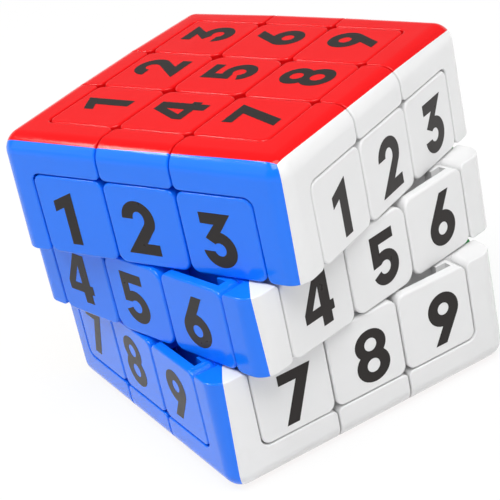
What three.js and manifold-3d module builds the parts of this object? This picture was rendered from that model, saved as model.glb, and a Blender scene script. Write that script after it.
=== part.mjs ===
// Number cube: a 3 x 3 x 3 twisty puzzle whose three layers are fanned out about the vertical axis.
// Every piece is cut from one rounded cube by surfaces of revolution about the three axes, so that
// each layer turns clear of the others. Millimetres, +Z up, origin at the middle of the bottom face.
import * as THREE from 'three';
import { RoundedBoxGeometry } from 'three/addons/geometries/RoundedBoxGeometry.js';
import { mergeVertices } from 'three/addons/utils/BufferGeometryUtils.js';
import Module from 'manifold-3d';

const wasm = await Module();
wasm.setup();

// Outer shape
const TILE_PITCH = 14.4;       // width of one tile with its gap
const RIM_WIDTH = 6.4;         // band outside the nine tiles
const EDGE_ROUND = 3.3;        // radius of the cube's outer edges
const RUNNING_GAP = 0.3;       // clearance between neighbouring pieces
const LAYER_TWIST = 12.3;      // degrees that each layer is turned from the one below it

// Tiles and rims
const GROOVE_WIDTH = 0.35;     // gap between a tile and the rim
const RIM_NECK = 2.0;          // depth of rim left below the groove, which ties rim and tile together
const TILE_CORNER = 1.6;       // corner radius of a tile
const CENTRE_CORNER = 2.4;     // corner radius of a centre piece's tile
const RIM_CORNER = 1.0;        // corner radius of a rim where two pieces meet
const TILE_WALL = 2.0;         // front wall of a tile
const SLOT_WIDTH = 2.6;        // hollow behind the front wall
const SLOT_SIDE_WALL = 1.6;    // wall beside the hollow
const SLOT_REACH = 6.0;        // depth of the hollow in a corner piece

// Feet that hook the pieces together
const FOOT_RADIUS = 15.5;      // turning radius of the feet
const FOOT_BLOCK = 5.4;        // height of a corner's separate foot along the diagonal
const PEG_RADIUS = 2.0;        // peg that joins a corner's foot to its shell
const PEG_LENGTH = 5.0;

// Screw, spring and washer on each axis
const SCREW_RADIUS = 1.5;
const SCREW_GRIP = 2.5;        // length of screw inside the hub
const SCREW_PLAY = 0.15;       // clearance round the screw
const HEAD_HEIGHT = 2.0;
const RECESS_LENGTH = 3.0;     // cross recess in the screw head
const RECESS_WIDTH = 0.7;
const RECESS_DEPTH = 1.1;
const SPRING_WIRE = 0.8;       // wire diameter
const SPRING_PLAY = 0.5;       // clearance inside and outside the spring
const SPRING_LENGTH = 6.4;     // fitted length
const SPRING_TURNS = 4.5;
const WASHER_THICKNESS = 0.8;

// Centre pieces and hub
const STEM_WALL = 1.5;         // wall round the spring bore
const STEM_FLOOR = 2.4;        // floor under the spring
const CAP_THICKNESS = 4.0;     // tile cap that closes the bore
const CAP_PLUG_LENGTH = 3.0;
const HUB_ROUND = 1.2;

// Facets
const EDGE_STEPS = 3;          // in half of a rounded edge
const TURN_SEGMENTS = 40;      // in a full turn of a running surface
const SMALL_SEGMENTS = 16;     // in a full turn of a screw, bore or washer
const CORNER_STEPS = 3;        // in a tile's corner
const WIRE_SIDES = 5;
const COIL_STEPS = 10;         // in one turn of a spring

// Worked out from the sizes above, measured from the cube's centre
const half = 1.5 * TILE_PITCH + RIM_WIDTH;
const split = TILE_PITCH / 2;
const inset = RUNNING_GAP / 2;
const tileLow = split + inset;
const grooveMiddle = 1.5 * TILE_PITCH;
const tileHigh = grooveMiddle - GROOVE_WIDTH / 2;
const rimLow = grooveMiddle + GROOVE_WIDTH / 2;
const grooveDepth = RIM_WIDTH - RIM_NECK;
const springRadius = SCREW_RADIUS + SPRING_PLAY + SPRING_WIRE / 2;
const boreRadius = springRadius + SPRING_WIRE / 2 + SPRING_PLAY;
const stemHalf = boreRadius + STEM_WALL;
const footStart = stemHalf + inset;
const floorTop = footStart + inset + STEM_FLOOR;
const washerBottom = floorTop + SPRING_LENGTH + 2 * inset;
const headBottom = washerBottom + WASHER_THICKNESS + inset;
const capBottom = half - CAP_THICKNESS;
const footCut = split * Math.sqrt(3) + FOOT_BLOCK;
const beyond = 2 * half;       // reach of a cutter that passes right out of the cube

const X = new THREE.Vector3(1, 0, 0);
const Y = new THREE.Vector3(0, 1, 0);
const Z = new THREE.Vector3(0, 0, 1);
const DIAGONAL = new THREE.Vector3(1, 1, 1).normalize();

// Face colours, each with the direction that the face looks in the solved cube
const FACES = {
  red: { normal: Z, color: 0xf0282c },
  blue: { normal: Y.clone().negate(), color: 0x2a72f2 },
  white: { normal: X, color: 0xf0f0ee },
  orange: { normal: Z.clone().negate(), color: 0xff7a1c },
  green: { normal: Y, color: 0x1fae52 },
  yellow: { normal: X.clone().negate(), color: 0xffd426 },
};
const EDGES = [
  ['red', 'blue'], ['red', 'white'], ['red', 'green'], ['red', 'yellow'],
  ['blue', 'white'], ['white', 'green'], ['green', 'yellow'], ['yellow', 'blue'],
  ['orange', 'blue'], ['orange', 'white'], ['orange', 'green'], ['orange', 'yellow'],
];
const CORNERS = [
  ['red', 'blue', 'white'], ['red', 'white', 'green'],
  ['red', 'green', 'yellow'], ['red', 'yellow', 'blue'],
  ['orange', 'white', 'blue'], ['orange', 'green', 'white'],
  ['orange', 'yellow', 'green'], ['orange', 'blue', 'yellow'],
];

// Closed solid of a geometry, with shared vertices welded and faces pointing out
function solid(geometry) {
  const bare = new THREE.BufferGeometry();
  bare.setAttribute('position', geometry.getAttribute('position'));
  bare.setIndex(geometry.getIndex());
  const welded = mergeVertices(bare);
  const index = welded.getIndex().array;
  const triangles = [];
  for (let i = 0; i < index.length; i += 3) {
    const [a, b, c] = index.subarray(i, i + 3);
    if (a !== b && b !== c && c !== a) triangles.push(a, b, c);
  }
  const vertProperties = new Float32Array(welded.getAttribute('position').array);
  return new wasm.Manifold(new wasm.Mesh({
    numProp: 3,
    vertProperties,
    triVerts: new Uint32Array(triangles),
  }));
}

function geometryOf(manifold) {
  const mesh = manifold.getMesh();
  const geometry = new THREE.BufferGeometry();
  geometry.setAttribute('position', new THREE.BufferAttribute(mesh.vertProperties, 3));
  geometry.setIndex(new THREE.BufferAttribute(mesh.triVerts, 1));
  const facets = geometry.toNonIndexed();
  facets.computeVertexNormals();
  return facets;
}

const cut = (body, cutters) => cutters.reduce((rest, cutter) => rest.subtract(cutter), body);
const common = (body, others) => others.reduce((rest, other) => rest.intersect(other), body);

// Body of revolution about +Z from [radius, height] pairs that run anticlockwise
function lathe(profile, segments) {
  const points = profile.map(([radius, height]) => new THREE.Vector2(radius, height));
  return new THREE.LatheGeometry(points, segments).rotateX(Math.PI / 2);
}

const along = (geometry, direction) => geometry.applyQuaternion(
  new THREE.Quaternion().setFromUnitVectors(Z, direction));

const rod = (radius, bottom, top) => lathe(
  [[0, bottom], [radius, bottom], [radius, top], [0, top]], SMALL_SEGMENTS);

// Box between two corners
function block(low, high) {
  const size = high.map((value, i) => value - low[i]);
  return new THREE.BoxGeometry(...size).translate(...low.map((value, i) => value + size[i] / 2));
}

// Space that turns with the layer on one side of the cube. A positive margin shrinks it.
function layerSpace(direction, margin) {
  const radius = FOOT_RADIUS - margin;
  const foot = footStart + margin;
  const plane = split + margin;
  const profile = [
    [0, foot], [radius, foot], [radius, plane],
    [beyond, plane], [beyond, beyond], [0, beyond],
  ];
  return solid(along(lathe(profile, TURN_SEGMENTS), direction));
}
const inLayer = (direction) => layerSpace(direction, inset);
const outsideLayer = (direction) => layerSpace(direction, -inset);

// Cutters for the +Z face, from below the groove to outside the cube
const cutBottom = half - grooveDepth;
const cutHeight = beyond - cutBottom;
const faceCutter = (points) => new THREE.ExtrudeGeometry(new THREE.Shape(points), {
  depth: cutHeight,
  bevelEnabled: false,
}).translate(0, 0, cutBottom);

// Points of a quarter turn from the u side to the v side of a corner at (u, v)
function cornerArc(u, v, uSide, vSide, radius) {
  const points = [];
  for (let step = 0; step <= CORNER_STEPS; step += 1) {
    const angle = (step / CORNER_STEPS) * (Math.PI / 2);
    points.push(new THREE.Vector2(
      u - uSide * radius * (1 - Math.cos(angle)),
      v - vSide * radius * (1 - Math.sin(angle)),
    ));
  }
  return points;
}

// Takes the square corner off a tile or a rim
function cornerCutter([u, v, uSide, vSide, radius]) {
  const uOut = u + uSide * inset;
  const vOut = v + vSide * inset;
  return faceCutter([
    ...cornerArc(u, v, uSide, vSide, radius),
    new THREE.Vector2(u - uSide * radius, vOut),
    new THREE.Vector2(uOut, vOut),
    new THREE.Vector2(uOut, v - vSide * radius),
  ]);
}

const slotTop = half - TILE_WALL;
const slotBottom = slotTop - SLOT_WIDTH;
const slotLow = tileLow + SLOT_SIDE_WALL;
const slotHigh = tileHigh - SLOT_SIDE_WALL;

// An edge piece runs along Y, with its +Z face's tile between the parting plane and the rim at +X
function edgeFaceCutters() {
  const end = split - inset;
  const corners = [-1, 1].flatMap((side) => [
    [tileLow, side * end, -1, side, TILE_CORNER],
    [tileHigh, side * end, 1, side, TILE_CORNER],
    [rimLow, side * end, -1, side, RIM_CORNER],
  ]);
  return [
    block([tileHigh, -beyond, cutBottom], [rimLow, beyond, beyond]),
    block([slotLow, -beyond, slotBottom], [slotHigh, beyond, slotTop]),
    ...corners.map(cornerCutter),
  ];
}

// A corner piece's +Z face has its rim along +X and +Y
function cornerFaceCutters() {
  const groove = faceCutter([
    ...cornerArc(tileHigh, tileHigh, 1, 1, TILE_CORNER),
    new THREE.Vector2(0, tileHigh),
    new THREE.Vector2(0, rimLow),
    ...cornerArc(rimLow, rimLow, 1, 1, TILE_CORNER).reverse(),
    new THREE.Vector2(rimLow, 0),
    new THREE.Vector2(tileHigh, 0),
  ]);
  const corners = [
    [tileLow, tileLow, -1, -1, TILE_CORNER],
    [tileHigh, tileLow, 1, -1, TILE_CORNER],
    [tileLow, tileHigh, -1, 1, TILE_CORNER],
    [rimLow, tileLow, -1, -1, RIM_CORNER],
    [tileLow, rimLow, -1, -1, RIM_CORNER],
  ];
  const slotEnd = tileLow + SLOT_REACH;
  return [
    groove,
    block([slotLow, 0, slotBottom], [slotHigh, slotEnd, slotTop]),
    block([0, slotLow, slotBottom], [slotEnd, slotHigh, slotTop]),
    ...corners.map(cornerCutter),
  ];
}

// Rotation that carries the +Z face to another face of the same piece
const cyclic = (turns) => new THREE.Matrix4().makeRotationAxis(DIAGONAL, (turns * 2 * Math.PI) / 3);
const swapXZ = new THREE.Matrix4().makeRotationAxis(new THREE.Vector3(1, 0, 1).normalize(), Math.PI);
const still = new THREE.Matrix4();

function faceCuts(makeCutters, matrices) {
  return matrices.flatMap((matrix) => makeCutters().map((cutter) => solid(cutter.applyMatrix4(matrix))));
}

const cubeBody = solid(new RoundedBoxGeometry(2 * half, 2 * half, 2 * half, EDGE_STEPS, EDGE_ROUND));
const opposite = (direction) => direction.clone().negate();

function makeEdge() {
  const piece = common(cubeBody, [inLayer(X), inLayer(Z)]);
  const freed = cut(piece, [outsideLayer(Y), outsideLayer(opposite(Y))]);
  return cut(freed, faceCuts(edgeFaceCutters, [still, swapXZ]));
}

function makeCorner() {
  const piece = common(cubeBody, [inLayer(X), inLayer(Y), inLayer(Z)]);
  return cut(piece, faceCuts(cornerFaceCutters, [still, cyclic(1), cyclic(2)]));
}

// A corner's foot is a separate moulding with a peg, parted from the shell across the diagonal
function splitCorner(corner) {
  const below = (top) => solid(along(block([-beyond, -beyond, -beyond], [beyond, beyond, top]), DIAGONAL));
  const peg = solid(along(rod(PEG_RADIUS, footCut - PEG_LENGTH / 2, footCut + PEG_LENGTH), DIAGONAL));
  const socket = solid(along(
    rod(PEG_RADIUS + RUNNING_GAP, footCut - RUNNING_GAP, footCut + PEG_LENGTH + RUNNING_GAP), DIAGONAL));
  return {
    shell: corner.subtract(below(footCut + inset)).subtract(socket),
    foot: corner.intersect(below(footCut - inset)).add(peg),
  };
}

// A centre piece on +Z: a stem with the spring bore, under a tile cap with a plug
function makeCentreBase() {
  const sides = [X, Y, opposite(X), opposite(Y)].map(outsideLayer);
  const body = cut(common(cubeBody, [inLayer(Z)]), sides);
  const bore = solid(rod(boreRadius, floorTop, beyond));
  const screwHole = solid(rod(SCREW_RADIUS + SCREW_PLAY, 0, beyond));
  const above = solid(block([-beyond, -beyond, capBottom - RUNNING_GAP], [beyond, beyond, beyond]));
  return cut(body, [above, bore, screwHole]);
}

function makeCentreCap() {
  const end = split - inset;
  const outline = [[1, 1], [-1, 1], [-1, -1], [1, -1]].flatMap(([uSide, vSide]) => {
    const arc = cornerArc(uSide * end, vSide * end, uSide, vSide, CENTRE_CORNER);
    return uSide * vSide > 0 ? arc : arc.reverse();
  });
  const tile = new THREE.ExtrudeGeometry(new THREE.Shape(outline), {
    depth: CAP_THICKNESS,
    bevelEnabled: false,
  }).translate(0, 0, capBottom);
  const plug = rod(boreRadius - RUNNING_GAP, capBottom - CAP_PLUG_LENGTH, capBottom + CAP_THICKNESS / 2);
  return solid(tile).add(solid(plug));
}

function makeHub() {
  const side = 2 * (footStart - inset);
  const body = solid(new RoundedBoxGeometry(side, side, side, 2, HUB_ROUND));
  const depth = side / 2 - SCREW_GRIP - inset;
  const holes = Object.values(FACES).map(
    ({ normal }) => solid(along(rod(SCREW_RADIUS + SCREW_PLAY, depth, beyond), normal)));
  return cut(body, holes);
}

function makeScrew() {
  const tip = footStart - inset - SCREW_GRIP;
  const headRadius = boreRadius - SPRING_PLAY;
  const headTop = headBottom + HEAD_HEIGHT;
  const body = solid(lathe([
    [0, tip], [SCREW_RADIUS, tip], [SCREW_RADIUS, headBottom],
    [headRadius, headBottom], [headRadius, headTop], [0, headTop],
  ], SMALL_SEGMENTS));
  const recess = (length, width) => solid(block(
    [-length / 2, -width / 2, headTop - RECESS_DEPTH], [length / 2, width / 2, beyond]));
  return cut(body, [recess(RECESS_LENGTH, RECESS_WIDTH), recess(RECESS_WIDTH, RECESS_LENGTH)]);
}

function makeWasher() {
  const inner = SCREW_RADIUS + SCREW_PLAY;
  const outer = boreRadius - SPRING_PLAY / 2;
  const top = washerBottom + WASHER_THICKNESS;
  return solid(lathe(
    [[inner, washerBottom], [outer, washerBottom], [outer, top], [inner, top], [inner, washerBottom]],
    SMALL_SEGMENTS));
}

// Centre line of a spring's wire
class Coil extends THREE.Curve {
  getPoint(t, target = new THREE.Vector3()) {
    const angle = t * SPRING_TURNS * 2 * Math.PI;
    const rise = t * (SPRING_LENGTH - SPRING_WIRE);
    return target.set(
      springRadius * Math.cos(angle),
      springRadius * Math.sin(angle),
      floorTop + inset + SPRING_WIRE / 2 + rise,
    );
  }
}

function makeSpring() {
  const wire = new THREE.Shape();
  for (let side = 0; side < WIRE_SIDES; side += 1) {
    const angle = (side / WIRE_SIDES) * 2 * Math.PI;
    const point = [Math.cos(angle), Math.sin(angle)].map((value) => (value * SPRING_WIRE) / 2);
    if (side === 0) wire.moveTo(...point);
    else wire.lineTo(...point);
  }
  return new THREE.ExtrudeGeometry(wire, {
    extrudePath: new Coil(),
    steps: Math.round(SPRING_TURNS * COIL_STEPS),
  });
}

// Colours each facet of a piece by the face it belongs to: the axis along which it lies furthest out
function painted(geometry, colors) {
  const copy = geometry.clone();
  const position = copy.getAttribute('position');
  const values = new Float32Array(position.count * 3);
  for (let first = 0; first < position.count; first += 3) {
    const middle = [0, 1, 2].map((axis) => [0, 1, 2].reduce(
      (sum, corner) => sum + position.getComponent(first + corner, axis), 0));
    const outermost = middle.indexOf(Math.max(...middle));
    const color = new THREE.Color(colors[outermost]);
    for (let corner = 0; corner < 3; corner += 1) color.toArray(values, (first + corner) * 3);
  }
  copy.setAttribute('color', new THREE.BufferAttribute(values, 3));
  return copy;
}

const finish = (settings) => new THREE.MeshStandardMaterial(settings);
const glossPlastic = (color) => finish({ color, roughness: 0.15, metalness: 0 });
const twoShotPlastic = () => finish({ vertexColors: true, roughness: 0.15, metalness: 0 });
const hubPlastic = () => finish({ color: 0x2b2b2e, roughness: 0.5, metalness: 0 });
const steel = () => finish({ color: 0xb8bcc2, roughness: 0.3, metalness: 1 });

function named(name, geometry, material) {
  const mesh = new THREE.Mesh(geometry, material);
  mesh.name = name;
  return mesh;
}

// Turns a piece so that its own X and Z look along two given face directions
function facing(mesh, xTo, zTo) {
  const basis = new THREE.Matrix4().makeBasis(xTo, zTo.clone().cross(xTo), zTo);
  mesh.quaternion.setFromRotationMatrix(basis);
  return mesh;
}

const cube = new THREE.Group();
cube.position.z = half;
const topLayer = new THREE.Group();
const middleLayer = new THREE.Group();
const bottomLayer = new THREE.Group();
topLayer.rotation.z = THREE.MathUtils.degToRad(LAYER_TWIST);
bottomLayer.rotation.z = THREE.MathUtils.degToRad(-LAYER_TWIST);
cube.add(topLayer, middleLayer, bottomLayer);

function layerOf(colors) {
  if (colors.includes('red')) return topLayer;
  return colors.includes('orange') ? bottomLayer : middleLayer;
}

middleLayer.add(named('core_hub', geometryOf(makeHub()), hubPlastic()));

const axisShapes = {
  screw: geometryOf(makeScrew()),
  washer: geometryOf(makeWasher()),
  spring: makeSpring(),
  base: geometryOf(makeCentreBase()),
  cap: geometryOf(makeCentreCap()),
};
for (const [color, face] of Object.entries(FACES)) {
  const sideways = Math.abs(face.normal.z) > 0 ? X : Z;
  const onAxis = (name, shape, material) => facing(
    named(`${name}_${color}`, shape, material), sideways, face.normal);
  middleLayer.add(
    onAxis('axis_screw', axisShapes.screw, steel()),
    onAxis('spring_washer', axisShapes.washer, steel()),
    onAxis('spring', axisShapes.spring, steel()),
  );
  layerOf([color]).add(
    onAxis('centre_base', axisShapes.base, hubPlastic()),
    onAxis('centre_cap', axisShapes.cap, glossPlastic(face.color)),
  );
}

const edgeShape = geometryOf(makeEdge());
for (const colors of EDGES) {
  const [first, second] = colors.map((color) => FACES[color]);
  const shape = painted(edgeShape, [second.color, first.color, first.color]);
  const mesh = named(`edge_${colors.join('_')}`, shape, twoShotPlastic());
  layerOf(colors).add(facing(mesh, second.normal, first.normal));
}

const cornerParts = splitCorner(makeCorner());
const cornerShape = geometryOf(cornerParts.shell);
const footShape = geometryOf(cornerParts.foot);
for (const colors of CORNERS) {
  const [first, second, third] = colors.map((color) => FACES[color]);
  const shape = painted(cornerShape, [second.color, third.color, first.color]);
  const name = colors.join('_');
  layerOf(colors).add(
    facing(named(`corner_${name}`, shape, twoShotPlastic()), second.normal, first.normal),
    facing(named(`corner_foot_${name}`, footShape, hubPlastic()), second.normal, first.normal),
  );
}

export default cube;
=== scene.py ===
"""Number cube with its three layers fanned out: glossy mouldings in several colours, with printed digits."""
import math

import bmesh
import bpy
from mathutils import Matrix, Vector


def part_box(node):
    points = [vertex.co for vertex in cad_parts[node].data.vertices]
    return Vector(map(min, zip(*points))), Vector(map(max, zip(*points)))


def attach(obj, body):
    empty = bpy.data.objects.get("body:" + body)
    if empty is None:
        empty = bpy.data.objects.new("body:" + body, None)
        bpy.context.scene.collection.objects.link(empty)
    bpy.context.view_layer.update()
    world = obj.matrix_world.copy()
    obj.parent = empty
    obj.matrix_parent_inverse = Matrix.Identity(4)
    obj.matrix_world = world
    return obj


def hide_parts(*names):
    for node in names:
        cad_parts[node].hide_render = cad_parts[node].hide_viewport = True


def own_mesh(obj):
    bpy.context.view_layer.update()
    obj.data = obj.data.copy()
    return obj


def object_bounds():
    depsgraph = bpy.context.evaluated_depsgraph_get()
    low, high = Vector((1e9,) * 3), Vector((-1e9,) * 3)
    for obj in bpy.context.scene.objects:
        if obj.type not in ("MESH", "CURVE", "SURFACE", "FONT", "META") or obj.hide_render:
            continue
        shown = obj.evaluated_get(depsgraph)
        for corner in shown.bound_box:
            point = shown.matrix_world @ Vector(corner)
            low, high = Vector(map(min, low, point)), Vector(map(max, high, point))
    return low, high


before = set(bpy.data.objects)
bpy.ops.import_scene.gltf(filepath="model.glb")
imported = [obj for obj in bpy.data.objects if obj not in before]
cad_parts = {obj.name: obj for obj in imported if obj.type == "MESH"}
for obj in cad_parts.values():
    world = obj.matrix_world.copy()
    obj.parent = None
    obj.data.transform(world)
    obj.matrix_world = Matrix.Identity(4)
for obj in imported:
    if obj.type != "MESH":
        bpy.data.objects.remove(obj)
cad_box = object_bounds()

MM = 0.001

# Sizes of the mouldings in millimetres, measured from the cube's centre in its own axes
HALF = (cad_box[1][2] - cad_box[0][2]) / MM / 2
TILE_PITCH = 14.4
EDGE_ROUND = 3.3
GAP = 0.3                     # between neighbouring pieces
GROOVE = 0.22                 # between a tile and its rim
GROOVE_DEPTH = 4.4
TILE_CORNER = 1.6
CENTRE_CORNER = 2.4
RIM_CORNER = 1.0
TILE_WALL = 1.6               # front wall of a tile, ahead of the slot
SLOT_DEPTH = 4.6              # from the cube's face to the far side of a slot
SLOT_SIDE_WALL = 1.8
SLOT_REACH = 6.0
NARROW_LENGTH = 2.0           # a slot is narrower over this length, near the rim
NARROW_WIDTH = 1.5
EDGE_CORE = 26.0              # an edge piece is dark where its two depths add up to less than this
CORNER_CORE = 33.0            # and a corner piece where its three do
CAP_THICKNESS = 4.0
CAP_PLUG_LENGTH = 3.0
CAP_PLUG_RADIUS = 3.0
SPRING_WIRE = 0.8
SPRING_RADIUS = 2.4
SPRING_LENGTH = 6.4
SPRING_TURNS = 4.5
SPRING_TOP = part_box("spring_washer_red")[0][2] / MM - HALF - GAP / 2     # just under its washer

# Fine shape that the solids leave out
TILE_BEVEL = 0.38             # rounding round a tile's front
RIM_BEVEL = 0.25
SUPPORT = 0.05                # narrow strip beside a bevel that keeps the flats flat
OVERLAP = 0.1                 # of a tile or rim into the block under it
TOP_PULL = 0.3                # the upper corners are rounder than the cube's edges by this depth
BACK_PULL = 1.2               # the one at the back by this depth, level with its face
PULL_REACH = 7.0              # both over this distance
PRINT_HEIGHT = 0.03           # digits stand this far above the mouldings
COIL_CLOSING = 0.5            # how much closer a spring is wound at its ends
END_FACING = 0.3              # least upward or downward share of a normal on a post's end
SHARP = math.radians(40)      # edges with a larger angle are shaded sharp

# Steps of curved shapes
BEVEL_STEPS = 4
ROUND_STEPS = 10              # in half of a rounded edge
ROUND_SLACK = 0.05            # share of such a step that gets no cut of its own
CORNER_STEPS = 8              # in a tile's corner
DIGIT_STEPS = 8               # in a quarter turn of a digit's bow
PLUG_SIDES = 48
COIL_STEPS = 32               # in one turn of a spring
WIRE_SIDES = 12

# Tolerances of the mesh work
CUT_TOLERANCE = 1e-5
WELD = 1e-4
SOLID_WELD = 1e-3             # for the solids' own meshes
PARALLEL = 1e-6               # sine of the angle below which two sides of an outline run on straight

# Places that follow from these sizes
SPLIT = TILE_PITCH / 2
TILE_LOW = SPLIT + GAP / 2
TILE_END = SPLIT - GAP / 2
GROOVE_MIDDLE = 1.5 * TILE_PITCH
TILE_HIGH = GROOVE_MIDDLE - GROOVE / 2
RIM_LOW = GROOVE_MIDDLE + GROOVE / 2
FLAT = HALF - EDGE_ROUND      # the faces are flat up to here
MITRE = FLAT + EDGE_ROUND * math.pi / 4
ROUND_STEP = (MITRE - FLAT) / ROUND_STEPS
CUT_BOTTOM = HALF - GROOVE_DEPTH
SHELL_DEPTH = GROOVE_DEPTH + OVERLAP
SLOT_TOP = HALF - TILE_WALL
SLOT_BOTTOM = HALF - SLOT_DEPTH
SLOT_LOW = TILE_LOW + SLOT_SIDE_WALL
SLOT_HIGH = TILE_HIGH - SLOT_SIDE_WALL

# Directions and turns
SIDES = [Vector((1, 0, 0)), Vector((0, 1, 0)), Vector((0, 0, 1))]
DIAGONAL = Vector((1, 1, 1))
CORNER_POINT = DIAGONAL * (FLAT + EDGE_ROUND / math.sqrt(3))
CYCLE = [Matrix.Rotation(2 * math.pi / 3 * i, 4, DIAGONAL) for i in range(3)]
SWAP_X_Z = Matrix.Rotation(math.pi, 4, Vector((1, 0, 1)))
SWAP_X_Y = Matrix(((0, 1, 0, 0), (1, 0, 0, 0), (0, 0, 1, 0), (0, 0, 0, 1)))
LAYERS = {1: "top_layer", 0: "middle_layer", -1: "bottom_layer"}
LAYER_TWIST = math.radians(12.3)
TWIST = {"top_layer": LAYER_TWIST, "middle_layer": 0, "bottom_layer": -LAYER_TWIST}
AXES = {"red": (0, 0, 1), "blue": (0, -1, 0), "white": (1, 0, 0),
        "orange": (0, 0, -1), "green": (0, 1, 0), "yellow": (-1, 0, 0)}

# Reading direction and upward direction of each face's digits
READING = {
    "red": ((0, 1, 0), (-1, 0, 0)), "blue": ((1, 0, 0), (0, 0, 1)), "white": ((0, 1, 0), (0, 0, 1)),
    "orange": ((0, 1, 0), (1, 0, 0)), "green": ((-1, 0, 0), (0, 0, 1)), "yellow": ((0, -1, 0), (0, 0, 1)),
}
# How far each digit from 1 to 9 sits off the middle of its tile, along those two directions
PRINT_OFFSET = {
    "red": [(0.4, 0.8), (1.05, 0.6), (1.5, 0.15), (0.6, 0.35), (1.3, 0.1), (1.55, 0), (1.05, -0.35),
            (1.3, -0.35), (1.85, -0.25)],
    "blue": [(-1.8, -0.25), (-1.2, -0.25), (-0.55, -0.65), (-1.15, 0.1), (-0.75, 0), (-0.35, -0.2),
             (-0.9, -0.2), (-0.9, 0), (-0.35, -0.2)],
    "white": [(-0.4, -0.55), (0.4, -0.35), (0.85, -0.5), (-0.15, 0.2), (1.0, 0), (0.9, 0.1), (0.7, -0.9),
              (0.95, -0.8), (1.45, -0.6)],
}

# How far the first-named colour of an edge piece reaches over the mitre, at both ends of its seam
EDGE_SEAMS = {"edge_red_blue": (0, -0.36), "edge_red_white": (-0.21, 0), "edge_blue_white": (0.73, 0.33)}
SIDE_SHORT = 0.75             # the colour of the underside stops short of the mitre by this length
# The same for the three seams of a corner piece, where they meet the edge pieces
CORNER_SEAMS = {"corner_red_blue_white": (-0.36, -0.2, 0.21),
                "corner_orange_white_blue": (-SIDE_SHORT, -1.35, SIDE_SHORT)}
# Direction of the point where a corner piece's three colours meet, along the faces' normals
CORNER_TIPS = {"corner_red_blue_white": (1.5, 1, 1.07), "corner_red_white_green": (0.78, 1, 1),
               "corner_orange_white_blue": (2.32, 1.45, 1)}
ORANGE_TIP = (1.6, 1, 1)


# Materials. A pattern is a scale in waves per metre and a number of octaves.

BUMP_DEPTH = 0.0001           # metres
PLASTIC_IOR = 1.5
FLOW_PATTERN = (90, 3)
FLOW_TINT = (0.97, 1.03)
WEAR_PATTERN = (260, 4)
WEAR_SEEN = (0.3, 0.7)        # part of the pattern that the gloss follows
WEAR_GLOSS = (0.75, 1.35)     # shares of the roughness
PEEL_PATTERN = (1400, 2)
PEEL_BUMP = 0.03
INK_COLOR = (0.022, 0.018, 0.017)
INK_SPECULAR = 0.2
INK_PATTERN = (700, 4)
INK_ROUGHNESS = (0.22, 0.4)
INK_BUMP = 0.05
STEEL_PATTERN = (900, 5)
STEEL_TONES = [(0.42, 0.43, 0.45), (0.62, 0.63, 0.64)]
STEEL_ROUGHNESS = (0.2, 0.42)


def new_material(name):
    material = bpy.data.materials.new(name)
    material.use_nodes = True
    return material, material.node_tree, material.node_tree.nodes["Principled BSDF"]


def noise(tree, pattern):
    """A pattern that stays on the piece."""
    where = tree.nodes.new("ShaderNodeTexCoord")
    texture = tree.nodes.new("ShaderNodeTexNoise")
    texture.inputs["Scale"].default_value, texture.inputs["Detail"].default_value = pattern
    tree.links.new(where.outputs["Object"], texture.inputs["Vector"])
    return texture.outputs["Fac"]


def ranged(tree, value, target, source=(0, 1)):
    """A value moved from one range to another."""
    node = tree.nodes.new("ShaderNodeMapRange")
    node.inputs["From Min"].default_value, node.inputs["From Max"].default_value = source
    node.inputs["To Min"].default_value, node.inputs["To Max"].default_value = target
    tree.links.new(value, node.inputs["Value"])
    return node.outputs["Result"]


def add_bump(tree, shader, height, strength):
    bump = tree.nodes.new("ShaderNodeBump")
    bump.inputs["Strength"].default_value = strength
    bump.inputs["Distance"].default_value = BUMP_DEPTH
    tree.links.new(height, bump.inputs["Height"])
    tree.links.new(bump.outputs["Normal"], shader.inputs["Normal"])


def plastic(name, color, roughness, specular):
    """Moulded plastic: faint flow marks in the colour, uneven gloss and a very fine texture."""
    material, tree, shader = new_material(name)
    shader.inputs["IOR"].default_value = PLASTIC_IOR
    shader.inputs["Specular IOR Level"].default_value = specular
    shade = tree.nodes.new("ShaderNodeHueSaturation")
    shade.inputs["Color"].default_value = (*color, 1)
    tree.links.new(ranged(tree, noise(tree, FLOW_PATTERN), FLOW_TINT), shade.inputs["Value"])
    tree.links.new(shade.outputs["Color"], shader.inputs["Base Color"])
    gloss = [roughness * share for share in WEAR_GLOSS]
    tree.links.new(ranged(tree, noise(tree, WEAR_PATTERN), gloss, WEAR_SEEN), shader.inputs["Roughness"])
    add_bump(tree, shader, noise(tree, PEEL_PATTERN), PEEL_BUMP)
    return material


def printed_ink():
    """Dark print with an even colour, uneven gloss and a slightly grainy surface."""
    material, tree, shader = new_material("printed_ink")
    shader.inputs["Base Color"].default_value = (*INK_COLOR, 1)
    shader.inputs["Specular IOR Level"].default_value = INK_SPECULAR
    grain = noise(tree, INK_PATTERN)
    tree.links.new(ranged(tree, grain, INK_ROUGHNESS), shader.inputs["Roughness"])
    add_bump(tree, shader, grain, INK_BUMP)
    return material


def plated_steel():
    """Zinc-plated steel with a fine grain in its tone and gloss."""
    material, tree, shader = new_material("plated_steel")
    shader.inputs["Metallic"].default_value = 1
    grain = noise(tree, STEEL_PATTERN)
    tone = tree.nodes.new("ShaderNodeValToRGB")
    for stop, color in zip(tone.color_ramp.elements, STEEL_TONES):
        stop.color = (*color, 1)
    tree.links.new(grain, tone.inputs["Fac"])
    tree.links.new(tone.outputs["Color"], shader.inputs["Base Color"])
    tree.links.new(ranged(tree, grain, STEEL_ROUGHNESS), shader.inputs["Roughness"])
    return material


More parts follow.
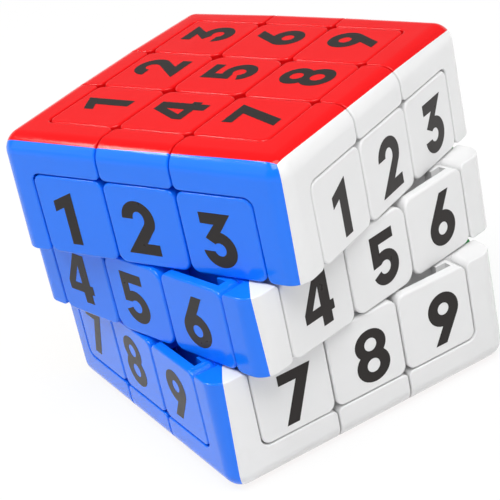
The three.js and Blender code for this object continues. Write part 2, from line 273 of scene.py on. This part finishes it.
# Colour, roughness and specular level of each plastic
FINISHES = {
    "red": ((0.775, 0.006, 0.008), 0.16, 0.3),
    "blue": ((0.004, 0.188, 0.97), 0.13, 0.45),
    "white": ((0.83, 0.83, 0.832), 0.16, 0.4),
    "orange": ((0.93, 0.16, 0.01), 0.16, 0.4),
    "green": ((0.01, 0.40, 0.08), 0.16, 0.4),
    "yellow": ((0.93, 0.62, 0.015), 0.16, 0.4),
    "inner": ((0.12, 0.12, 0.125), 0.4, 0.4),
}
PLASTICS = {color: plastic(color + "_plastic", *finish) for color, finish in FINISHES.items()}
INNER_PLASTIC = PLASTICS["inner"]
PRINT = printed_ink()
STEEL = plated_steel()


# Outlines

def arc(centre, radii, start, end, steps):
    """Points of a circle or ellipse between two angles in degrees."""
    angles = [math.radians(start + (end - start) * i / steps) for i in range(steps + 1)]
    return [(centre[0] + radii[0] * math.cos(t), centre[1] + radii[1] * math.sin(t)) for t in angles]


def turn(centre, radius, start, end):
    """A rounded corner."""
    return arc(centre, (radius, radius), start, end, CORNER_STEPS)


def rounded_rectangle(low, high, radius):
    """Anticlockwise outline with round corners, from the lowest corner."""
    corners = [(low[0], low[1], 1, 1, 180), (high[0], low[1], -1, 1, 270),
               (high[0], high[1], -1, -1, 0), (low[0], high[1], 1, -1, 90)]
    points = []
    for a, b, a_in, b_in, start in corners:
        points += turn((a + a_in * radius, b + b_in * radius), radius, start, start + 90)
    return points


def inset_outline(points, seams, distance):
    """The outline moved inwards, apart from its sides that start at a seam point."""
    count = len(points)
    moved = []
    for i, point in enumerate(points):
        lines = []
        for start in (i - 1, i):
            p, q = points[start % count], points[(start + 1) % count]
            length = math.hypot(q[0] - p[0], q[1] - p[1])
            inward = (-(q[1] - p[1]) / length, (q[0] - p[0]) / length)
            lines.append((inward, 0 if start % count in seams else distance))
        (n1, d1), (n2, d2) = lines
        cross = n1[0] * n2[1] - n1[1] * n2[0]
        if abs(cross) < PARALLEL:
            moved.append((point[0] + n1[0] * d1, point[1] + n1[1] * d1))
        else:
            moved.append((point[0] + (d1 * n2[1] - d2 * n1[1]) / cross,
                          point[1] + (n1[0] * d2 - n2[0] * d1) / cross))
    return moved


# Mesh tools

def as_object(bm, name):
    mesh = bpy.data.meshes.new(name)
    bm.to_mesh(mesh)
    bm.free()
    piece = bpy.data.objects.new(name, mesh)
    bpy.context.scene.collection.objects.link(piece)
    return piece


def everything(bm):
    return bm.verts[:] + bm.edges[:] + bm.faces[:]


def box(low, high):
    bm = bmesh.new()
    size = Vector(high) - Vector(low)
    middle = (Vector(high) + Vector(low)) / 2
    bmesh.ops.create_cube(bm, size=1, matrix=Matrix.Translation(middle) @ Matrix.Diagonal((*size, 1)))
    return bm


def bridge(bm, rings):
    """Closes the sides between rings of vertices."""
    for lower, upper in zip(rings, rings[1:]):
        for i in range(len(lower)):
            j = (i + 1) % len(lower)
            bm.faces.new((lower[i], lower[j], upper[j], upper[i]))


def carve(bm, cutters):
    """Cuts closed shapes out of another."""
    body = as_object(bm, "carved")
    tools = [as_object(cutter, "cutter") for cutter in cutters]
    for tool in tools:
        modifier = body.modifiers.new("cut", "BOOLEAN")
        modifier.operation = "DIFFERENCE"
        modifier.solver = "EXACT"
        modifier.object = tool
    evaluated = body.evaluated_get(bpy.context.evaluated_depsgraph_get())
    result = bmesh.new()
    result.from_mesh(evaluated.to_mesh())
    for thing in [body, *tools]:
        mesh = thing.data
        bpy.data.objects.remove(thing)
        bpy.data.meshes.remove(mesh)
    return result


def joined(*parts):
    """One mesh from several, which it frees."""
    result = bmesh.new()
    for part in parts:
        mesh = bpy.data.meshes.new("part")
        part.to_mesh(mesh)
        part.free()
        result.from_mesh(mesh)
        bpy.data.meshes.remove(mesh)
    return result


def copied(bm, matrix):
    result = bm.copy()
    result.transform(matrix)
    if matrix.determinant() < 0:
        bmesh.ops.reverse_faces(result, faces=result.faces[:])
    return result


def trimmed(bm, planes):
    """Keeps what lies behind each plane (point, normal), and closes the cuts."""
    for point, normal in planes:
        bmesh.ops.bisect_plane(bm, geom=everything(bm), dist=CUT_TOLERANCE, plane_co=point,
                               plane_no=normal, clear_outer=True)
        rim = [edge for edge in bm.edges if edge.is_boundary]
        bmesh.ops.triangle_fill(bm, use_beauty=True, use_dissolve=True, edges=rim, normal=Vector(normal))
    bmesh.ops.recalc_face_normals(bm, faces=bm.faces[:])
    return bm


def bent(point, pull):
    """From flat coordinates (a, b along the surface, height above it) to the rounded cube."""
    a, b, height = point
    # Deeper than the middle of the rounding, the sides meet in a plain mitre
    if height < -EDGE_ROUND:
        level = HALF + height
        return Vector((min(a, level), min(b, level), level))
    lean_a = math.tan(max(0, a - FLAT) / EDGE_ROUND)
    lean_b = math.tan(max(0, b - FLAT) / EDGE_ROUND)
    normal = Vector((lean_a, lean_b, 1)).normalized()
    place = Vector((min(a, FLAT), min(b, FLAT), FLAT)) + normal * (EDGE_ROUND + height)
    near = max(0, 1 - ((place - CORNER_POINT).length / PULL_REACH) ** 2)
    return place - pull * near ** 2


def island(points, bevel, depth, seams=(), pull=Vector()):
    """Closed prism over an outline, with a rounded front edge, bent over the cube's edges.

    It is sunk by the height of the print, and pull draws the corner's tip in.
    """
    bm = bmesh.new()
    levels = [(0, -depth), (0, -bevel - SUPPORT)]
    for step in range(BEVEL_STEPS + 1):
        angle = math.pi / 2 * step / BEVEL_STEPS
        levels.append((bevel * (1 - math.cos(angle)), -bevel * (1 - math.sin(angle))))
    levels.append((bevel + SUPPORT, 0))
    rings = []
    for distance, height in levels:
        outline = inset_outline(points, seams, distance)
        rings.append([bm.verts.new((a, b, height - PRINT_HEIGHT)) for a, b in outline])
    bridge(bm, rings)
    bm.faces.new(rings[-1])
    bm.faces.new(reversed(rings[0]))
    for axis in SIDES[:2]:
        reach = max(axis.dot((a, b, 0)) for a, b in points)
        for step in range(max(0, math.ceil((reach - FLAT) / ROUND_STEP - ROUND_SLACK))):
            bmesh.ops.bisect_plane(bm, geom=everything(bm), dist=CUT_TOLERANCE,
                                   plane_co=axis * (FLAT + ROUND_STEP * step), plane_no=axis)
    for vertex in bm.verts:
        vertex.co = bent(vertex.co, pull)
    bmesh.ops.remove_doubles(bm, verts=bm.verts[:], dist=WELD)
    return bm


# Places of pieces

def placement(x_to, z_to):
    """Turns a piece so that its own X and Z look along two face directions."""
    x, z = Vector(x_to), Vector(z_to)
    return Matrix((x, z.cross(x), z)).transposed().to_4x4()


def facing(color):
    """Turns a centre's piece so that its own Z looks out of a face."""
    return placement((1, 0, 0) if color in ("red", "orange") else (0, 0, 1), AXES[color])


def layer_of(colors):
    return LAYERS[("red" in colors) - ("orange" in colors)]


def in_row(layer):
    """From the cube's own axes in millimetres to the row frame in metres."""
    return (Matrix.Scale(MM, 4) @ Matrix.Translation((0, 0, HALF))
            @ Matrix.Rotation(TWIST[layer], 4, "Z"))


def local_copy(node):
    """The mesh of a top layer's piece between the red and the blue face, in its own axes in millimetres."""
    bm = bmesh.new()
    bm.from_mesh(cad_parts[node].data)
    bm.transform((in_row("top_layer") @ placement(AXES["blue"], AXES["red"])).inverted())
    bmesh.ops.remove_doubles(bm, verts=bm.verts[:], dist=SOLID_WELD)
    return bm


# Shapes of the pieces, each with its first colour towards its own +Z

def slot_cutters(start, end):
    """Boxes for a slot behind a tile's front wall, narrower near the rim."""
    return [box((SLOT_LOW, start, SLOT_BOTTOM), (SLOT_HIGH - NARROW_LENGTH, end, SLOT_TOP)),
            box((SLOT_LOW, start, SLOT_TOP - NARROW_WIDTH), (SLOT_HIGH, end, SLOT_TOP))]


def edge_block():
    """The solid edge piece below its tiles and rims."""
    return trimmed(local_copy("edge_red_blue"), [(side * CUT_BOTTOM, side) for side in SIDES[::2]])


def edge_core():
    """The dark foot of an edge piece."""
    return trimmed(edge_block(), [((EDGE_CORE / 2, 0, EDGE_CORE / 2), (1, 0, 1))])


def edge_tile():
    """Block and tile of an edge piece that belong to its +Z face."""
    block = trimmed(edge_block(), [((EDGE_CORE / 2, 0, EDGE_CORE / 2), (-1, 0, -1)),
                                   ((0, 0, 0), (1, 0, -1))])
    outline = rounded_rectangle((TILE_LOW, -TILE_END), (TILE_HIGH, TILE_END), TILE_CORNER)
    tile = island(outline, TILE_BEVEL, SHELL_DEPTH)
    return joined(block, carve(tile, slot_cutters(-HALF, HALF)))


def edge_rim(low, high):
    """Rim of an edge piece towards +X, whose seam is off the mitre by two lengths at its ends."""
    lower = turn((RIM_LOW + RIM_CORNER, RIM_CORNER - TILE_END), RIM_CORNER, 180, 270)
    upper = turn((RIM_LOW + RIM_CORNER, TILE_END - RIM_CORNER), RIM_CORNER, 90, 180)
    outline = lower + [(MITRE + low, -TILE_END), (MITRE + high, TILE_END)] + upper
    return island(outline, RIM_BEVEL, SHELL_DEPTH, seams=(len(lower),))


def edge_shells(node):
    """The two coloured parts of an edge piece."""
    usual = (-SIDE_SHORT, -SIDE_SHORT) if "orange" in node else (0, 0)
    low, high = EDGE_SEAMS.get(node, usual)
    return [joined(EDGE_TILE.copy(), rim) for rim in (edge_rim(low, high), edge_rim(-high, -low))]


def corner_block():
    """The solid corner piece below its tiles and rims."""
    return trimmed(local_copy("corner_red_blue_white"), [(side * CUT_BOTTOM, side) for side in SIDES])


def corner_core():
    """The dark inner end of a corner piece."""
    return trimmed(corner_block(), [(DIAGONAL * CORNER_CORE / 3, DIAGONAL)])


def corner_tile():
    """Block and tile of a corner piece that belong to its +Z face."""
    block = trimmed(corner_block(), [(DIAGONAL * CORNER_CORE / 3, -DIAGONAL),
                                     ((0, 0, 0), (1, 0, -1)), ((0, 0, 0), (0, 1, -1))])
    outline = rounded_rectangle((TILE_LOW, TILE_LOW), (TILE_HIGH, TILE_HIGH), TILE_CORNER)
    tile = island(outline, TILE_BEVEL, SHELL_DEPTH)
    cutters = slot_cutters(0, TILE_LOW + SLOT_REACH)
    return joined(block, carve(tile, cutters + [copied(cutter, SWAP_X_Y) for cutter in cutters]))


def corner_rim(ends, tip, pull):
    """Rim of a corner piece towards +X and +Y, with its two seams at their ends and at the corner's tip."""
    bend = RIM_LOW - TILE_CORNER
    outline = turn((RIM_LOW + RIM_CORNER, TILE_LOW + RIM_CORNER), RIM_CORNER, 180, 270)
    start = len(outline)
    outline += [(MITRE + ends[0], TILE_LOW), (tip[0], FLAT), tip, (FLAT, tip[1]),
                (TILE_LOW, MITRE + ends[1])]
    seams = range(start, len(outline) - 1)
    outline += turn((TILE_LOW + RIM_CORNER, RIM_LOW + RIM_CORNER), RIM_CORNER, 180, 270)
    outline += turn((bend, bend), TILE_CORNER, 90, 0)
    return island(outline, RIM_BEVEL, SHELL_DEPTH, seams, pull)


def corner_pull(node):
    """How far the tip of a corner piece is drawn in."""
    if "orange" in node:
        return Vector()
    if node == "corner_red_green_yellow":
        return Vector((1, 1, 0)).normalized() * BACK_PULL
    return DIAGONAL.normalized() * TOP_PULL


def corner_shells(node):
    """The three coloured parts of a corner piece."""
    below = "orange" in node
    ends = CORNER_SEAMS.get(node, (-SIDE_SHORT, 0, SIDE_SHORT) if below else (0, 0, 0))
    lean = CORNER_TIPS.get(node, ORANGE_TIP if below else (1, 1, 1))
    shells = []
    for i, spin in enumerate(CYCLE):
        own, along_x, along_y = lean[i], lean[(i + 1) % 3], lean[(i + 2) % 3]
        tip = tuple(FLAT + EDGE_ROUND * math.atan(other / own) for other in (along_x, along_y))
        rim = corner_rim((ends[i], -ends[(i + 2) % 3]), tip, spin.inverted() @ corner_pull(node))
        shells.append(joined(CORNER_TILE.copy(), rim))
    return shells


def centre_cap():
    """Tile cap of a centre piece, with the plug that goes into its base."""
    outline = rounded_rectangle((-TILE_END, -TILE_END), (TILE_END, TILE_END), CENTRE_CORNER)
    tile = island(outline, TILE_BEVEL, CAP_THICKNESS)
    plug = bmesh.new()
    length = CAP_PLUG_LENGTH + CAP_THICKNESS / 2
    middle = HALF - CAP_THICKNESS - CAP_PLUG_LENGTH + length / 2
    bmesh.ops.create_cone(plug, cap_ends=True, segments=PLUG_SIDES, depth=length,
                          radius1=CAP_PLUG_RADIUS, radius2=CAP_PLUG_RADIUS,
                          matrix=Matrix.Translation((0, 0, middle)))
    return joined(tile, plug)


def spring():
    """Coil spring along +Z from the floor of a centre's bore to its washer, wound closer at its ends."""
    bm = bmesh.new()
    steps = round(SPRING_TURNS * COIL_STEPS)
    rise = SPRING_LENGTH - SPRING_WIRE
    start = SPRING_TOP - SPRING_LENGTH + SPRING_WIRE / 2
    slope = rise / (SPRING_TURNS * 2 * math.pi * SPRING_RADIUS)
    wire = arc((0, 0), (SPRING_WIRE / 2, SPRING_WIRE / 2), 0, 360, WIRE_SIDES)[:-1]
    rings = []
    for step in range(steps + 1):
        share = step / steps
        angle = share * SPRING_TURNS * 2 * math.pi
        eased = share * share * (3 - 2 * share)
        height = start + rise * (share + COIL_CLOSING * (eased - share))
        out = Vector((math.cos(angle), math.sin(angle), 0))
        across = Vector((-out.y, out.x, slope)).normalized().cross(out)
        middle = out * SPRING_RADIUS + Vector((0, 0, height))
        rings.append([bm.verts.new(middle + out * a + across * b) for a, b in wire])
    bridge(bm, rings)
    bm.faces.new(rings[0])
    bm.faces.new(rings[-1])
    bmesh.ops.recalc_face_normals(bm, faces=bm.faces[:])
    return bm


CENTRE = centre_cap()
SPRING = spring()
EDGE_TILE = edge_tile()
EDGE_CORE_SHAPE = edge_core()
CORNER_TILE = corner_tile()
CORNER_CORE_SHAPE = corner_core()


# Pieces

def finished(bm, name, matrix, material, body, replaced=()):
    """Puts a shape in the row frame as a piece that moves with a body."""
    shape = copied(bm, matrix)
    for face in shape.faces:
        face.smooth = True
    for edge in shape.edges:
        edge.smooth = len(edge.link_faces) == 2 and edge.calc_face_angle() < SHARP
    piece = as_object(shape, name)
    piece.data.materials.append(material)
    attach(piece, body)
    if replaced:
        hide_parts(*replaced)
    return piece


def whiten_ends(piece, layer):
    """Gives a green shell white faces where its post by the white side ends at a neighbouring layer."""
    piece.data.materials.append(PLASTICS["white"])
    back = in_row(layer).inverted()
    for face in piece.data.polygons:
        middle = back @ face.center
        is_end = abs(middle.z) < TILE_LOW + RIM_BEVEL and abs(face.normal.z) > END_FACING
        if is_end and (middle.x > RIM_LOW - GROOVE or middle.y < CUT_BOTTOM):
            face.material_index = 1


def add_block(node, colors, shells, core, spins):
    """An edge or corner piece: one shell for each of its colours round a dark core."""
    layer = layer_of(colors)
    matrix = in_row(layer) @ placement(AXES[colors[1]], AXES[colors[0]])
    finished(core, node + ".core", matrix, INNER_PLASTIC, layer, [node])
    for color, shell, spin in zip(colors, shells, spins):
        piece = finished(shell, node + "." + color, matrix @ spin, PLASTICS[color], layer,
                         [node])
        if color == "green" and "white" in colors:
            whiten_ends(piece, layer)


def add_cap(node, color):
    finished(CENTRE, "cap_" + color, in_row(layer_of([color])) @ facing(color), PLASTICS[color],
             "centre_" + color, [node])


def add_spring(node, color):
    """A spring at a centre, in the middle layer, with a mesh of its own."""
    place = in_row("middle_layer")
    piece = finished(SPRING, "coil_" + color, place @ facing(color), STEEL, "middle_layer", [node])
    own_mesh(piece)


def keep_solid(node, material):
    """Leaves a node as the solid it is, with a better material."""
    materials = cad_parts[node].data.materials
    materials.clear()
    materials.append(material)


def add_pieces():
    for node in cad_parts:
        words = node.split("_")
        if node.startswith("centre_cap_"):
            add_cap(node, words[2])
        elif words[0] == "edge":
            add_block(node, words[1:], edge_shells(node), EDGE_CORE_SHAPE, (Matrix(), SWAP_X_Z))
        elif words[0] == "corner" and words[1] != "foot":
            add_block(node, words[1:], corner_shells(node), CORNER_CORE_SHAPE, CYCLE)
        elif words[0] == "spring" and words[1] != "washer":
            add_spring(node, words[1])
        else:
            keep_solid(node, STEEL if words[0] in ("axis", "spring") else INNER_PLASTIC)


# Digits

def bow(centre, radii, start, end):
    steps = math.ceil(abs(end - start) / 90 * DIGIT_STEPS)
    return arc(centre, radii, start, end, steps)


def ring(centre, radius):
    return bow(centre, (radius, radius), 360, 0)[1:]


def digit_six():
    """A straight stem that runs into a round bowl."""
    outline = [(2.46, 4.71), (0.18, 4.71)] + bow((0, -1.61), (3.11, 3.11), 149, 440.6)
    return [outline, ring((0, -1.71), 1.11)]


# Outlines in millimetres round the middle of each digit, the outer one first
DIGITS = {
    1: [[(-0.12, -4.75), (2.02, -4.75), (2.02, 4.75), (-2.02, 2.93), (-2.02, 1.0), (-0.12, 1.89)]],
    2: [[(-3.21, -4.73), (3.21, -4.73), (3.21, -2.77), (0.79, -2.77)]
        + bow((0.07, 1.52), (3.21, 3.21), -28, 180)
        + bow((0.1, 1.52), (1.1, 1.36), 180, -40)
        + [(-3.21, -4.55)]],
    3: [[(-2.77, 4.71), (-2.77, 2.8), (-0.27, 2.75), (-2.3, 0.32)]
        + bow((0.02, -1.57), (1.12, 1.15), 130, -160)
        + bow((0.02, -1.57), (3.14, 3.14), -173.5, 77)
        + [(3.12, 4.71)]],
    4: [[(-3.2, -2.77), (0.34, -2.77), (0.34, -4.7), (2.48, -4.7), (2.48, -2.77), (3.2, -2.77),
         (3.2, -1.05), (2.48, -1.05), (2.48, 4.7), (-0.27, 4.7), (-3.2, -1.05)],
        [(0.34, -1.05), (-1.45, -1.05), (0.34, 2.55)]],
    5: [[(-2.77, 4.68), (-2.77, -0.93)]
        + bow((-0.05, -1.57), (1.18, 1.18), 137.6, -165.6)
        + bow((0.02, -1.64), (3.07, 3.07), -161.2, 108.4)
        + [(-0.95, 2.82), (2.52, 2.82), (2.52, 4.68)]],
    6: digit_six(),
    7: [[(-3.18, 4.75), (-3.18, 2.86), (0.14, 2.86), (-3.0, -4.75), (-0.64, -4.75), (3.18, 4.75)]],
    8: [bow((0, 2.09), (3.04, 2.79), -39.9, 219.9)[:-1] + bow((0, -1.84), (3.27, 3.03), 135.1, 404.9)[:-1],
        ring((0, 2.09), 1.18), ring((0, -1.84), 1.25)],
    9: [[(-x, -y) for x, y in loop] for loop in digit_six()],
}


def digit_shape(loops):
    """Thin printed layer whose front lies in the cube's face."""
    bm = bmesh.new()
    for loop in loops:
        corners = [bm.verts.new((x, y, HALF)) for x, y in loop]
        for one, other in zip(corners, corners[1:] + corners[:1]):
            bm.edges.new((one, other))
    bmesh.ops.triangle_fill(bm, use_beauty=True, use_dissolve=False, edges=bm.edges[:], normal=(0, 0, 1))
    made = bmesh.ops.extrude_face_region(bm, geom=bm.faces[:])["geom"]
    below = [item for item in made if isinstance(item, bmesh.types.BMVert)]
    bmesh.ops.translate(bm, verts=below, vec=(0, 0, -2 * PRINT_HEIGHT))
    bmesh.ops.recalc_face_normals(bm, faces=bm.faces[:])
    return bm


def add_digits(color, right, up):
    """The nine digits of a face, in rows of three from its upper left."""
    normal = Vector(AXES[color])
    turned = Matrix((Vector(right), Vector(up), normal)).transposed().to_4x4()
    for number, loops in DIGITS.items():
        column, row = (number - 1) % 3 - 1, 1 - (number - 1) // 3
        across, along = PRINT_OFFSET[color][number - 1] if color in PRINT_OFFSET else (0, 0)
        place = Matrix.Translation((column * TILE_PITCH + across, row * TILE_PITCH + along, 0))
        layer = LAYERS[round((Vector(up) * row + normal).z)]
        body = "centre_" + color if column == row == 0 else layer
        finished(digit_shape(loops), "digit_%s_%d" % (color, number), in_row(layer) @ turned @ place,
                 PRINT, body)


# Camera: the photograph's place and directions, with its focal length in pixels of a 500-pixel frame

CAMERA_PLACE = Vector((0.19563, -0.15936, 0.15114))
CAMERA_FORWARD = Vector((-0.6977, 0.55684, -0.45071))
CAMERA_UP = Vector((-0.21261, 0.43986, 0.87254))
FOCAL_PIXELS = 1637.8
FRAME_PIXELS = 500
SENSOR = 36                   # millimetres
CLIP_START = 0.01             # metres


def add_camera():
    data = bpy.data.cameras.new("camera")
    data.sensor_width = SENSOR
    data.lens = FOCAL_PIXELS / FRAME_PIXELS * SENSOR
    data.clip_start = CLIP_START
    camera = bpy.data.objects.new("camera", data)
    bpy.context.scene.collection.objects.link(camera)
    camera.location = CAMERA_PLACE
    right = CAMERA_FORWARD.cross(CAMERA_UP)
    camera.rotation_euler = Matrix((right, CAMERA_UP, -CAMERA_FORWARD)).transposed().to_euler()
    bpy.context.scene.camera = camera


# Floor, backdrop and light, in metres and watts

FLOOR_SIZE = 3
FLOOR_DROP = 0.0002           # below the cube, so that the two surfaces don't coincide
PAPER = 0.72                  # grey of the floor for the light that it throws back
SEEN_PAPER = 0.9              # and for the shadow that the camera sees on it
FLOOR_GLOW = 0.88             # share of plain white in what the camera sees
SOFT_LIGHT = 0.42             # strength of the even light from all sides
HORIZON_FADE = (0.03, 0.3)    # heights between which the white backdrop turns into the dim ceiling
CEILING = 0.25                # strength of that ceiling in reflections
# Name, place, size, power, and whether reflections show it
LAMPS = [
    ("top_softbox", (0.23, -0.12, 0.58), 0.4, 2.8, True),
    ("key_softbox", (-0.29, -0.24, 0.5), 0.16, 1.0, True),
    ("left_softbox", (-0.28, -0.6, 0.45), 0.6, 0.7, True),
    ("right_softbox", (0.5, 0.08, 0.42), 0.5, 0.6, True),
    ("back_softbox", (-0.1, 0.7, 0.12), 0.4, 1.3, False),
    ("side_softbox", (-0.7, 0.1, 0.12), 0.4, 1.3, False),
]


def mixed(tree, first, second):
    """Two shaders with a share between them, which the caller sets."""
    mix = tree.nodes.new("ShaderNodeMixShader")
    tree.links.new(first.outputs[0], mix.inputs[1])
    tree.links.new(second.outputs[0], mix.inputs[2])
    return mix


def seen_or_lit(tree, light, sight):
    """One shader for the light that is thrown, another for what the camera, gloss and glass show."""
    path = tree.nodes.new("ShaderNodeLightPath")
    seen = path.outputs["Is Camera Ray"]
    for ray in ("Is Glossy Ray", "Is Transmission Ray"):
        either = tree.nodes.new("ShaderNodeMath")
        either.operation = "MAXIMUM"
        tree.links.new(seen, either.inputs[0])
        tree.links.new(path.outputs[ray], either.inputs[1])
        seen = either.outputs["Value"]
    choice = mixed(tree, light, sight)
    tree.links.new(seen, choice.inputs["Fac"])
    return choice.outputs["Shader"]


def grey_paper(tree, level):
    paper = tree.nodes.new("ShaderNodeBsdfDiffuse")
    paper.inputs["Color"].default_value = (level, level, level, 1)
    return paper


def floor_paper():
    """Pale paper that looks nearly white and keeps a soft shadow."""
    material = bpy.data.materials.new("floor")
    material.use_nodes = True
    tree = material.node_tree
    tree.nodes.clear()
    seen = mixed(tree, grey_paper(tree, SEEN_PAPER), tree.nodes.new("ShaderNodeEmission"))
    seen.inputs["Fac"].default_value = FLOOR_GLOW
    result = tree.nodes.new("ShaderNodeOutputMaterial")
    tree.links.new(seen_or_lit(tree, grey_paper(tree, PAPER), seen), result.inputs["Surface"])
    return material


def add_floor():
    bm = bmesh.new()
    bmesh.ops.create_grid(bm, x_segments=1, y_segments=1, size=FLOOR_SIZE)
    floor = as_object(bm, "floor")
    floor.location.z = -FLOOR_DROP
    floor.data.materials.append(floor_paper())


def add_world():
    """Even soft light, with a white backdrop under a dim ceiling in what the camera and reflections see."""
    world = bpy.data.worlds.new("studio")
    bpy.context.scene.world = world
    world.use_nodes = True
    tree = world.node_tree
    tree.nodes.clear()
    soft = tree.nodes.new("ShaderNodeBackground")
    soft.inputs["Strength"].default_value = SOFT_LIGHT
    where = tree.nodes.new("ShaderNodeTexCoord")
    height = tree.nodes.new("ShaderNodeSeparateXYZ")
    tree.links.new(where.outputs["Generated"], height.inputs["Vector"])
    backdrop = tree.nodes.new("ShaderNodeBackground")
    fade = ranged(tree, height.outputs["Z"], (1, CEILING), HORIZON_FADE)
    tree.links.new(fade, backdrop.inputs["Strength"])
    result = tree.nodes.new("ShaderNodeOutputWorld")
    tree.links.new(seen_or_lit(tree, soft, backdrop), result.inputs["Surface"])


def add_lamp(name, place, size, power, in_reflections):
    data = bpy.data.lights.new(name, "AREA")
    data.size = size
    data.energy = power
    lamp = bpy.data.objects.new(name, data)
    bpy.context.scene.collection.objects.link(lamp)
    lamp.location = place
    lamp.visible_camera = False
    lamp.visible_glossy = in_reflections
    to_cube = Vector((0, 0, HALF * MM)) - Vector(place)
    lamp.rotation_euler = to_cube.to_track_quat("-Z", "Y").to_euler()


add_pieces()
for color, (right, up) in READING.items():
    add_digits(color, right, up)
add_camera()
add_floor()
add_world()
for lamp in LAMPS:
    add_lamp(*lamp)
bpy.context.scene.view_settings.view_transform = "Standard"
